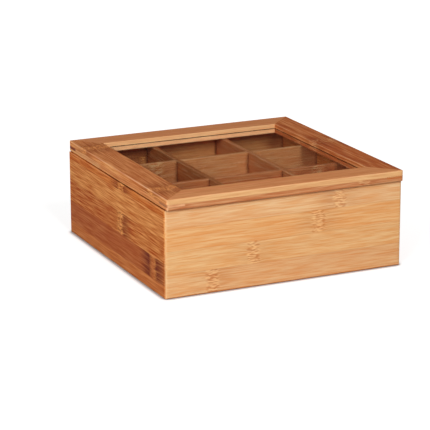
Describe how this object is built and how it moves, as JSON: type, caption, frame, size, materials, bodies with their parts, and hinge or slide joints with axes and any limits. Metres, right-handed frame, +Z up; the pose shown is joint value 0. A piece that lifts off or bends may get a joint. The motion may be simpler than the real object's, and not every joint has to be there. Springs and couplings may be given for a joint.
{
  "type": "tea bag organizer box",
  "caption": "Low square bamboo box with a grid of open compartments under a hinged lid framed round a clear window.",
  "frame": {"origin": "on the underside of the bottom panel, midway between the sides and midway between the lid's front and back edges", "axes": "+X to the right seen from the front, +Y from the front to the hinged back, +Z up"},
  "size_m": [0.22, 0.2209, 0.085],
  "materials": {
    "bamboo_wall": "satin lacquered carbonised bamboo, pressed strips",
    "bamboo_lid": "satin lacquered carbonised bamboo, two strips thick",
    "bamboo_divider": "plain sanded bamboo board",
    "bamboo_bottom": "plain sanded bamboo plywood",
    "bamboo_key": "dark bamboo key, lacquered with the lid",
    "clear_pane": "clear acrylic sheet",
    "hinge_brass": "brass-plated pressed leaf",
    "hinge_pin_steel": "plain drawn wire pin",
    "screw_brass": "brass-plated countersunk screw"
  },
  "bodies": {
    "box": {"front_panel": "bamboo_wall", "back_panel": "bamboo_wall", "left_panel": "bamboo_wall", "right_panel": "bamboo_wall", "bottom_panel": "bamboo_bottom", "row_divider_front": "bamboo_divider", "row_divider_back": "bamboo_divider", "column_divider_left": "bamboo_divider", "column_divider_right": "bamboo_divider", "wall_leaf_left": "hinge_brass", "wall_leaf_right": "hinge_brass", "hinge_pin_left": "hinge_pin_steel", "hinge_pin_right": "hinge_pin_steel", "wall_leaf_screws": "screw_brass"},
    "lid": {"lid_rail_front": "bamboo_lid", "lid_rail_back": "bamboo_lid", "lid_rail_left": "bamboo_lid", "lid_rail_right": "bamboo_lid", "corner_key_front_left": "bamboo_key", "corner_key_front_right": "bamboo_key", "corner_key_back_left": "bamboo_key", "corner_key_back_right": "bamboo_key", "window_pane": "clear_pane", "lid_leaf_left": "hinge_brass", "lid_leaf_right": "hinge_brass", "lid_leaf_screws": "screw_brass"}
  },
  "joints": [
    {"name": "lid_hinge", "type": "hinge", "parent": "box", "child": "lid", "pos_m": [0, 0.10916, 0.0752], "axis": [-1, 0, 0], "range_deg": [0, 105]}
  ]
}
